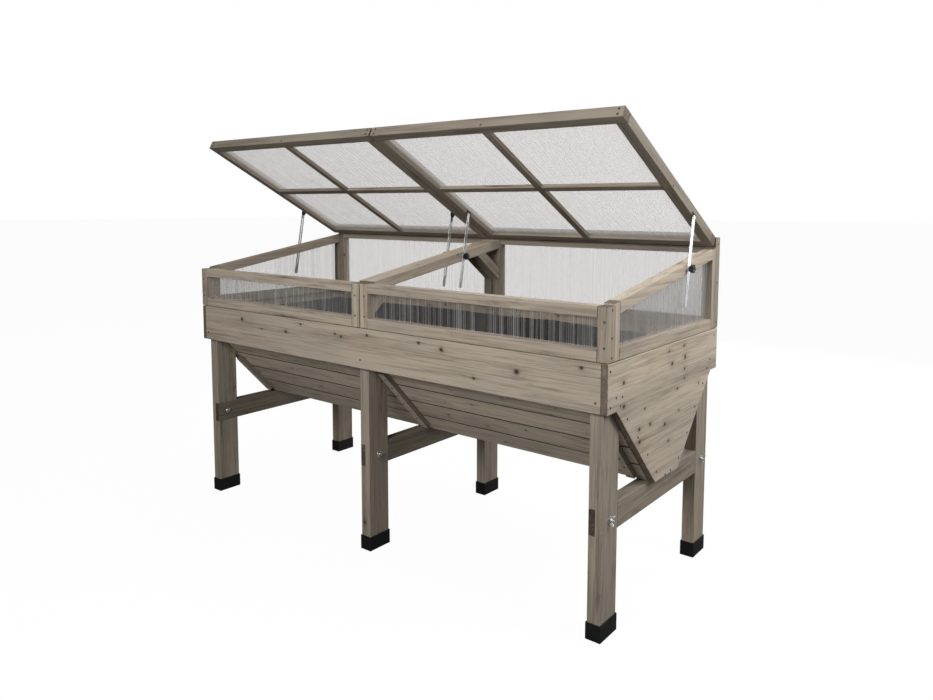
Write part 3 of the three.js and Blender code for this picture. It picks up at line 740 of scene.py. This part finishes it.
def add_framed_bay(kind, side):
    """A front or back frame, two stiles with two rails between them, and its sheet."""
    node, pane = f"{kind}_frame_{side}", f"{kind}_pane_{side}"
    low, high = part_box(node)
    thick = high.y - low.y
    stile, top = STILE[kind], TOP_RAIL[kind]
    build = Build(f"{node}_boards", "planter", front_wood if kind == "front" else back_wood_painted_shade, end_grain)
    for x in (low.x, high.x - stile):
        place = axes((x, low.y, low.z + SEAM), Z, X)
        add_board(build, strip(high.z - low.z - SEAM, stile), thick, place)
    length = high.x - low.x - 2 * stile
    for z, width in ((low.z + SEAM, BOTTOM_RAIL - SEAM), (high.z - top, top)):
        place = axes((low.x + stile + JOINT_LINE, low.y + thick, z), X, Z)
        add_board(build, strip(length - 2 * JOINT_LINE, width), thick, place)
    build.finish(node, slot="frame_wood")

    pane_low, pane_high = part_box(pane)
    inset = PANE_IN_GROOVE
    corner = Vector((low.x + stile - inset, pane_high.y, low.z + BOTTOM_RAIL - inset))
    height = high.z - top - low.z - BOTTOM_RAIL + 2 * inset
    size = (length + 2 * inset, height, pane_high.y - pane_low.y)
    sheet = twin_wall(*size, RIB_CONTRAST[kind])
    add_sheet(f"{kind}_sheet_{side}", "planter", pane, sheet, axes(corner, X, Z))


def add_end_bay(side, sign):
    """An end frame, upright stiles with a level rail below and a sloping one above, and its sheet."""
    node, pane = f"end_frame_{side}", f"end_pane_{side}"
    low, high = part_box(node)
    thick = high.x - low.x - BRACKET_GAP
    start_x = low.x if sign > 0 else low.x + BRACKET_GAP
    front_top = lid_seat(low.y)
    rise = (high.z - front_top) / (high.y - low.y)
    stile, top = STILE["end"], TOP_RAIL["end"] * math.hypot(1, rise)

    def top_at(y):
        return front_top + rise * (y - low.y)

    build = Build(f"{node}_boards", "planter", end_woods_lit_and_shaded[side], end_grain)
    # the stiles' grain runs up, so their outlines are (height, -y)
    up = axes((start_x, 0, 0), Z, -Y)
    foot = low.z + SEAM
    for y0, y1 in ((low.y, low.y + stile), (high.y - stile, high.y)):
        outline = [(foot, -y0), (top_at(y0), -y0), (top_at(y1), -y1), (foot, -y1)]
        add_board(build, outline, thick, up)
    level = axes((start_x, 0, 0), Y, Z)
    inner = (low.y + stile, high.y - stile)
    y0, y1 = inner[0] + JOINT_LINE, inner[1] - JOINT_LINE
    z1 = low.z + BOTTOM_RAIL
    add_board(build, [(y0, foot), (y1, foot), (y1, z1), (y0, z1)], thick, level)
    sloping = [(y0, top_at(y0) - top), (y1, top_at(y1) - top), (y1, top_at(y1)), (y0, top_at(y0))]
    add_board(build, sloping, thick, level)
    build.finish(node, slot="frame_wood")

    pane_low, pane_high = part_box(pane)
    inset = PANE_IN_GROOVE
    y0, y1 = inner[0] - inset, inner[1] + inset
    bottom = low.z + BOTTOM_RAIL - inset
    flat, *rest = twin_wall(y1 - y0, 1.0, pane_high.x - pane_low.x, RIB_CONTRAST["end"])
    # the flutes stand up, and their top ends follow the sloping rail
    points = []
    for across, end, deep in flat:
        y = y0 + across
        z = bottom if end == 0.0 else top_at(y) - top + inset
        points.append((pane_low.x + deep, y, z))
    add_sheet(f"end_sheet_{side}", "planter", pane, (points, *rest))


# ---- Lids, drawn flat: X and Y as in the row frame, the hinge axis at the origin ----

hinge_point = Vector((0, *joints["lid_left_hinge"]["pos_m"][1:]))
lid_slope = math.asin((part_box("lid_frame_right")[1].z - hinge_point.z) / LID_LENGTH)
lid_axes = Matrix.Translation(hinge_point) @ Matrix.Rotation(-lid_slope, 4, "X")


def lid_seat(y):
    """Height of the frames' tops, under the closed lids."""
    front_low, front_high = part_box("front_frame_right")
    end_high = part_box("end_frame_right")[1]
    rise = (end_high.z - front_high.z) / (end_high.y - front_low.y)
    return front_high.z + rise * (y - front_low.y)


def add_lid(side):
    node = f"lid_frame_{side}"
    low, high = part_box(node)
    x0, x1 = low.x, high.x
    front, back = -LID_LENGTH, -LID_BACK_GAP
    body = f"lid_{side}"
    build = Build(f"{node}_boards", body, lid_wood, end_grain)

    def lay(x, y, along, across, length, width, depth):
        """A board from its corner, its underside flush with the lid's."""
        place = lid_axes @ axes((x, y, -LID_THICKNESS), along, across)
        add_board(build, strip(length, width), depth, place)

    for y in (front, back - LID_RAIL):
        lay(x0, y, X, Y, x1 - x0, LID_RAIL, LID_THICKNESS)
    side_length = back - front - 2 * LID_RAIL
    start, length = front + LID_RAIL + JOINT_LINE, side_length - 2 * JOINT_LINE
    for x in (x0 + LID_RAIL, x1):
        lay(x, start, Y, -X, length, LID_RAIL, LID_THICKNESS)
    middle = (x0 + x1) / 2
    half = LID_BAR_WIDTH / 2
    lay(middle + half, front + LID_RAIL, Y, -X, side_length, LID_BAR_WIDTH, LID_BAR_DEPTH)
    bar_length = middle - half - x0 - LID_RAIL
    for x in (x0 + LID_RAIL, middle + half):
        lay(x, -CROSS_BAR_FROM_HINGE - half, X, Y, bar_length, LID_BAR_WIDTH, LID_BAR_DEPTH)
    build.finish(node, slot="frame_wood")

    inset = PANE_IN_GROOVE
    bottom = -LID_THICKNESS + LID_BAR_DEPTH + JOINT_LINE
    corner = lid_axes @ axes((x0 + LID_RAIL - inset, front + LID_RAIL - inset, bottom), X, Y)
    width = x1 - x0 - 2 * LID_RAIL + 2 * inset
    sheet = twin_wall(width, side_length + 2 * inset, LID_SHEET, RIB_CONTRAST["lid"])
    add_sheet(f"lid_sheet_{side}", body, f"lid_pane_{side}", sheet, corner)


# ---- Battens under the trough ----


def add_battens():
    # The battens' long sides get painted shade
    build = Build("trough_battens", "planter", batten_wood, end_grain, painted_shade_wood)
    for side in (-1, 1):
        top, down, _ = slope(side)
        across = X * -side
        for middle, start in BATTENS:
            outline = strip(slope_length - start - BATTEN_SHORT_OF_FOOT, BATTEN_WIDTH)
            corner = top + down * start + X * middle - across * BATTEN_WIDTH / 2
            add_board(build, outline, BATTEN_THICKNESS, axes(corner, down, across), side_slot=2)
    build.finish(slot="planter_wood")


# ---- Liner ----

LINER_WALL = 0.3195
LINER_KNEE_Z = 0.634
LINER_FLOOR_Y = 0.066


def liner_rim(x, height):
    """Height of the fabric's edge at x, which sags a little from height."""
    sag = noise.noise(Vector((x * 2.3, 4.0, 0.0))) * 0.016
    return height - 0.018 + sag + noise.noise(Vector((x * 9.0, 9.0, 0.0))) * 0.004


def wrinkled(point, inwards, strength):
    """Lifts a point of the fabric off the wood, by wide ripples and narrow folds."""
    ripple = noise.noise(Vector((point.x * 11, point.y * 6, point.z * 6)))
    fold = noise.noise(Vector((point.x * 34, point.y * 3, point.z * 3 + 7)))
    lift = max(0.0, 0.5 + ripple) * 0.0035 + max(0.0, fold) * 0.0025
    return point + inwards * lift * strength


def liner_trough(half, floor_z, top_z, columns=150, per_leg=(8, 24, 8, 24, 8)):
    """The fabric's rim, slopes and floor from end to end, as five legs across the trough."""
    points, faces = [], []
    for column in range(columns + 1):
        x = -half + 2 * half * column / columns
        rim = (LINER_WALL, liner_rim(x, top_z))
        right = [(LINER_FLOOR_Y, floor_z), (LINER_WALL, LINER_KNEE_Z), rim]
        corners = [(-y, z) for y, z in reversed(right)] + right
        for leg, steps in enumerate(per_leg):
            (y0, z0), (y1, z1) = corners[leg], corners[leg + 1]
            inwards = Vector((0, -(z1 - z0), y1 - y0)).normalized()
            for step in range(steps if leg < len(per_leg) - 1 else steps + 1):
                share = step / steps
                point = Vector((x, y0 + (y1 - y0) * share, z0 + (z1 - z0) * share))
                points.append(wrinkled(point, inwards, 1.0 if abs(x) < half - 0.001 else 0.0))
    row = sum(per_leg) + 1
    for column in range(columns):
        for i in range(row - 1):
            a = column * row + i
            faces.append([a, a + row, a + row + 1, a + 1])
    return points, faces


def liner_end(sign, half, floor_z, top_z, steps_up=30, steps_across=40):
    """The fabric's upright end on the left (-1) or the right (1)."""
    points, faces = [], []
    for up in range(steps_up + 1):
        z = floor_z + (liner_rim(sign * half, top_z) - floor_z) * up / steps_up
        share = min(1.0, (z - floor_z) / (LINER_KNEE_Z - floor_z))
        reach = LINER_FLOOR_Y + (LINER_WALL - LINER_FLOOR_Y) * share
        for across in range(steps_across + 1):
            y = reach * (2 * across / steps_across - 1)
            inside = 0.0 if across in (0, steps_across) or up == 0 else 1.0
            points.append(wrinkled(Vector((sign * half, y, z)), X * -sign, inside))
    for up in range(steps_up):
        for across in range(steps_across):
            a = up * (steps_across + 1) + across
            quad = [a, a + 1, a + steps_across + 2, a + steps_across + 1]
            faces.append(quad if sign < 0 else list(reversed(quad)))
    return points, faces


def add_liner():
    """A fabric sheet that follows the trough, with a sagging rim and soft wrinkles."""
    low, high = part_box("trough_liner")
    half, floor_z = high.x - 0.003, low.z + 0.0015
    build = Build("trough_liner_fabric", "planter", liner_fabric)
    build.add(liner_trough(half, floor_z, high.z), Matrix.Identity(4), smooth=True)
    for sign in (-1, 1):
        build.add(liner_end(sign, half, floor_z, high.z), Matrix.Identity(4), smooth=True)
    piece = build.finish("trough_liner", slot="liner_fabric")
    thicken = piece.modifiers.new("thicken", "SOLIDIFY")
    thicken.thickness = 0.0009
    thicken.offset = 0.0


# ---- Screws, bolts and hinges ----

SCREW_RADIUS = 0.0033


def cross_recess(angle):
    """Reach of a cross-shaped recess at an angle."""
    near_axis = max(min(abs(math.sin(angle)), abs(math.cos(angle))), 1e-6)
    return min(0.0020, 0.0006 / near_axis)


screw_head = turned(
    [
        (SCREW_RADIUS, -0.0004), (SCREW_RADIUS, 0.0002), (SCREW_RADIUS - 0.0005, 0.0006),
        (cross_recess, 0.0007), (lambda angle: cross_recess(angle) * 0.8, -0.0002),
    ]
)


def add_screw(build, point, direction):
    twist = Matrix.Rotation(dice.random() * math.pi, 4, "Z")
    build.add(screw_head, facing(point, direction) @ twist)


# (y, height) of each screw in an end panel
PANEL_SCREWS = (
    (-0.360, 0.730), (-0.356, 0.636), (-0.325, 0.656), (-0.302, 0.630), (-0.292, 0.652),
    (-0.260, 0.586), (-0.195, 0.521), (-0.132, 0.456), (-0.072, 0.390), (-0.012, 0.365),
    (0.026, 0.367), (0.083, 0.390), (0.142, 0.453), (0.200, 0.522), (0.260, 0.586),
    (0.290, 0.630), (0.314, 0.656), (0.343, 0.730),
)
# (x, height, row) of each screw in the aprons and stiles, in the front row (-1) or the back (1)
ROW_SCREWS = (
    (0.865, 0.646, -1), (0.865, 0.646, 1), (0.0, 0.646, -1), (0.0, 0.646, 1),
    (0.887, 0.856, -1), (0.887, 0.790, -1), (0.0215, 0.856, -1), (0.0215, 0.790, -1),
    (0.882, 0.775, 1), (0.882, 1.02, 1), (0.021, 0.775, 1), (0.021, 1.02, 1),
)
# (y, height) of each screw in an end frame's stiles
END_STILE_SCREWS = (
    (-0.355, 0.764), (-0.355, 0.815), (-0.355, 0.886), (0.355, 0.772), (0.355, 0.900), (0.355, 1.025),
)


def add_planter_screws():
    build = Build("planter_screws", "planter", screw_coat)
    for sign in (-1, 1):
        for y, z in PANEL_SCREWS:
            add_screw(build, (sign * planter_high.x, y, z), X * sign)
        for x, z, row in ROW_SCREWS:
            if x or sign > 0:
                add_screw(build, (sign * x, row * planter_high.y, z), Y * row)
        for y, z in END_STILE_SCREWS:
            add_screw(build, (sign * planter_high.x, y, z), X * sign)
    for side in (-1, 1):
        top, down, out = slope(side)
        for middle, start in BATTENS:
            for share in (0.12, 0.25, 0.37, 0.5, 0.62, 0.75, 0.88):
                if share * slope_length > start + 0.01:
                    point = top + down * slope_length * share + out * BATTEN_THICKNESS
                    add_screw(build, point + X * middle, out)
    build.finish(slot="bracket_steel")


LID_SCREW_LEVELS = (-0.008, -0.024)  # under the lid's top


def add_lid_screws(side, sign):
    build = Build(f"lid_{side}_screws", f"lid_{side}", screw_coat)
    node = f"lid_frame_{side}"
    inner, outer = side_x(node, -sign), side_x(node, sign)
    turn = lid_axes.to_3x3()
    for x in (inner + sign * LID_RAIL / 2, outer - sign * LID_RAIL / 2):
        for z in LID_SCREW_LEVELS:
            for y, direction in ((-LID_LENGTH, -Y), (-LID_BACK_GAP, Y)):
                add_screw(build, lid_axes @ Vector((x, y, z)), turn @ direction)
    middle = Vector(((inner + outer) / 2, -LID_LENGTH, LID_SCREW_LEVELS[1]))
    add_screw(build, lid_axes @ middle, turn @ -Y)
    add_screw(build, lid_axes @ Vector((outer, -CROSS_BAR_FROM_HINGE, -0.0245)), X * sign)
    build.finish(slot="bracket_steel")


WING_THICKNESS = 0.0022


def add_wing_nut(build, place):
    """Washer, hub, bolt end and two raised wings, standing on a face."""
    hub = turned([(0.0058, 0.0018), (0.0058, 0.006), (0.0048, 0.0085), (0.0034, 0.0088)])
    build.add(turned([(0.010, 0), (0.010, 0.0014), (0.0094, 0.0018)], 32), place)
    build.add(hub, place, smooth=True)
    build.add(turned([(0.0030, 0.008), (0.0030, 0.0125), (0.0023, 0.0132)]), place)
    wing = [
        (0.0035, 0.003), (0.0080, 0.0022), (0.0135, 0.0080), (0.0150, 0.0125), (0.0128, 0.0155),
        (0.0095, 0.0140), (0.0040, 0.0075),
    ]
    points, faces, _ = prism(wing, WING_THICKNESS, eased=0.0006)
    upright = Matrix.Rotation(math.pi / 2, 4, "X") @ Matrix.Translation((0, 0, -WING_THICKNESS / 2))
    for turn in (0.0, math.pi):
        build.add((points, faces), place @ Matrix.Rotation(turn, 4, "Z") @ upright)


def add_carriage_head(build, place):
    radius, height, steps = 0.0095, 0.0045, 7
    rings = [(radius, -0.0002), (radius, 0.0006)]
    for i in range(1, steps):
        angle = math.pi / 2 * i / steps
        rings.append((radius * math.cos(angle), 0.0006 + height * math.sin(angle)))
    build.add(turned(rings, 32), place, smooth=True)


def add_stretcher_bolts():
    """The domed heads sit on the halved ends of the stretchers, and the nuts on the legs."""
    build = Build("stretcher_bolts", "planter", bolt_zinc)
    for column, way in (("left", 1), ("mid", -1), ("right", -1)):
        low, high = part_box(f"stretcher_{column}")
        height = (low.z + high.z) / 2
        for row in ("front", "back"):
            leg = f"leg_{row}_{column}"
            low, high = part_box(leg)
            y = (low.y + high.y) / 2
            add_carriage_head(build, facing((side_x(leg, way), y, height), X * way))
            nut = facing((side_x(leg, -way), y, height), X * -way)
            add_wing_nut(build, nut @ Matrix.Rotation(0.35 + dice.random() * 2.4, 4, "Z"))
    build.finish(slot="stay_steel")


HINGE_LENGTH = 0.060
KNUCKLES = 5
KNUCKLE_RADIUS = 0.0028
KNUCKLE_GAP = 0.0003
LEAF_START = 0.0050
LEAF_WIDTH = 0.024
LEAF_THICKNESS = 0.0014
LEAF_LIFT = 0.0002


def add_leaf(build, screws, place, start, side, first):
    """One leaf of a butt hinge with its axis along X: a plate on the front (-1) or the back (1) of
    the axis, every second knuckle from first with its tab, and three screws."""
    knuckle, gap, radius = HINGE_LENGTH / KNUCKLES, KNUCKLE_GAP, KNUCKLE_RADIUS
    rings = [(radius - gap, gap), (radius, 2 * gap)]
    rings += [(radius, knuckle - 2 * gap), (radius - gap, knuckle - gap)]

    def plate(x, y, length, width, eased):
        corner = (x, y if side > 0 else -y - width, LEAF_LIFT)
        points, faces, _ = prism(strip(length, width), LEAF_THICKNESS, eased)
        build.add((points, faces), place @ Matrix.Translation(corner))

    for i in range(first, KNUCKLES, 2):
        x = start + i * knuckle
        build.add(turned(rings, 20), facing(hinge_point + X * x, X))
        plate(x + gap, 0.0, knuckle - 2 * gap, LEAF_START + 0.0008, 0.0002)
    plate(start, LEAF_START, HINGE_LENGTH, LEAF_WIDTH, 0.0004)
    for i in range(3):
        x = start + HINGE_LENGTH * (i + 0.5) / 3
        reach = LEAF_START + LEAF_WIDTH * (0.35 if i == 1 else 0.65)
        add_screw(screws, place @ Vector((x, side * reach, LEAF_THICKNESS)), place.to_3x3() @ Z)


def add_hinges():
    """Butt hinges along each lid's back edge: three knuckles on the planter and two on the lid."""
    fixed = Build("hinge_leaves_planter", "planter", bolt_zinc)
    screws = Build("hinge_screws_planter", "planter", screw_coat)
    for side, _ in SIDES:
        moving = Build(f"hinge_leaves_lid_{side}", f"lid_{side}", bolt_zinc)
        moving_screws = Build(f"hinge_screws_lid_{side}", f"lid_{side}", screw_coat)
        low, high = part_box(f"lid_frame_{side}")
        for share in (0.17, 0.83):
            start = low.x + share * (high.x - low.x) - HINGE_LENGTH / 2
            add_leaf(fixed, screws, Matrix.Translation(hinge_point), start, 1, 0)
            add_leaf(moving, moving_screws, lid_axes, start, -1, 1)
        moving.finish(slot="stay_steel")
        moving_screws.finish(slot="bracket_steel")
    fixed.finish(slot="stay_steel")
    screws.finish(slot="bracket_steel")


# ---- Stays ----

BRACKET_SCREWS = (Vector((0, -0.006, 0.0105)), Vector((0, 0.006, 0.0105)))  # from the pivot


def dress_stays():
    """Looks of the brackets, strips and knobs, with knob caps, washers and bracket screws."""
    washer = turned([(0.0078, 0), (0.0078, 0.0012), (0.0072, 0.0016)], 28)
    cap = turned([(0.0042, -0.0008), (0.0042, 0.0006), (0.0036, 0.0011), (0.0020, 0.0013)])
    for side, sign in SIDES:
        washers = Build(f"stay_washers_{side}", "planter", bolt_zinc)
        fixings = Build(f"bracket_screws_{side}", f"lid_{side}", screw_coat)
        for place in ("outer", "inner"):
            name = f"{side}_{place}"
            bracket, stay, knob = f"stay_bracket_{name}", f"stay_{name}", f"stay_knob_{name}"
            dress(bracket, black_coat, 0.0004)
            dress(stay, stay_zinc, 0.00035)
            dress(knob, knob_plastic, 0.0009, 3)
            low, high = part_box(knob)
            centre = (low + high) / 2
            build = Build(f"knob_cap_{name}", f"clamp_{name}", black_coat)
            build.add(cap, facing((side_x(knob, sign), centre.y, centre.z), X * sign))
            build.finish(slot="stay_steel")
            root = side_x(stay, -sign) - sign * 0.0003
            washers.add(washer, facing((root, centre.y, centre.z), X * sign))
            pivot = Vector(joints[f"stay_{name}_pivot"]["pos_m"])
            for offset in BRACKET_SCREWS:
                point = pivot + lid_axes.to_3x3() @ offset
                point.x = side_x(bracket, sign)
                add_screw(fixings, point, X * sign)
        washers.finish(slot="stay_steel")
        fixings.finish(slot="bracket_steel")


# ---- Stage, light and camera ----


def floor_material():
    """Pale matt floor. The camera sees it almost white, and it throws less light than that back."""
    g = Graph("floor")
    mottle = g.object_noise(3.0, 3.0)
    paint = g.principled(
        Base_Color=g.mix(mottle, (0.20, 0.20, 0.198), (0.22, 0.22, 0.218)),
        Roughness=0.85,
        Specular_IOR_Level=0.1,
    )
    shine = g.add("ShaderNodeEmission")
    shine.inputs["Strength"].default_value = 1.1
    seen = g.add("ShaderNodeLightPath").outputs["Is Camera Ray"]
    return g.finish(g.mix_shaders(g.product(seen, 0.88), paint, shine.outputs[0]))


def add_floor():
    mesh = bpy.data.meshes.new("floor")
    half = 60.0
    corners = [(-half, -half, 0), (half, -half, 0), (half, half, 0), (-half, half, 0)]
    mesh.from_pydata(corners, [], [(0, 1, 2, 3)])
    mesh.materials.append(floor_material())
    new_object("floor", mesh)


def add_world():
    """Weak warm light from all round, and a white backdrop that only the camera sees."""
    g = Graph("studio", "World")
    light, backdrop = g.add("ShaderNodeBackground"), g.add("ShaderNodeBackground")
    light.inputs[0].default_value = (1.0, 0.97, 0.93, 1.0)
    light.inputs[1].default_value = 0.05
    backdrop.inputs[0].default_value = (1.0, 1.0, 1.0, 1.0)
    seen = g.add("ShaderNodeLightPath").outputs["Is Camera Ray"]
    scene.world = g.finish(g.mix_shaders(seen, light.outputs[0], backdrop.outputs[0]))


def add_softbox(name, place, target, size, power):
    data = bpy.data.lights.new(name, "AREA")
    data.shape = "RECTANGLE"
    data.size, data.size_y = size
    data.energy = power
    light = new_object(name, data)
    light.location = place
    light.rotation_euler = (Vector(target) - Vector(place)).to_track_quat("-Z", "Y").to_euler()


def add_lights():
    middle = (0, 0, 0.7)
    add_softbox("front_box", (0.65, -2.8, 2.0), (0.2, 0, 0.95), (1.8, 1.2), 72)
    add_softbox("right_box", (2.5, 0.35, 2.2), (0, 0, 1.0), (1.6, 1.2), 52)
    add_softbox("top_box", (0, 0.6, 3.6), middle, (3.5, 2.5), 72)
    add_softbox("back_box", (0, 4.0, 1.6), middle, (6.0, 2.5), 160)


CAMERA_PLACE = Vector((1.784, -2.031, 1.145))
CAMERA_YAW = math.radians(37.88)
CAMERA_PITCH = math.radians(-5.34)
CAMERA_ROLL = math.radians(0.17)
CAMERA_LENS = 29.02
CAMERA_SHIFT = (-0.0148, -0.0790)


def add_camera():
    data = bpy.data.cameras.new("camera")
    data.lens = CAMERA_LENS
    data.shift_x, data.shift_y = CAMERA_SHIFT
    scene.camera = new_object("camera", data)
    turn = Matrix.Rotation(CAMERA_YAW, 4, "Z") @ Matrix.Rotation(math.pi / 2 + CAMERA_PITCH, 4, "X")
    roll = Matrix.Rotation(CAMERA_ROLL, 4, "Z")
    scene.camera.matrix_world = Matrix.Translation(CAMERA_PLACE) @ turn @ roll


dress_planter()
dress_rails()
for side, sign in SIDES:
    add_framed_bay("front", side)
    add_framed_bay("back", side)
    add_end_bay(side, sign)
    add_lid(side)
    add_lid_screws(side, sign)
add_battens()
add_liner()
add_planter_screws()
add_stretcher_bolts()
add_hinges()
dress_stays()
add_floor()
add_world()
add_lights()
add_camera()

scene.view_settings.view_transform = "Standard"
scene.cycles.transparent_max_bounces = 96
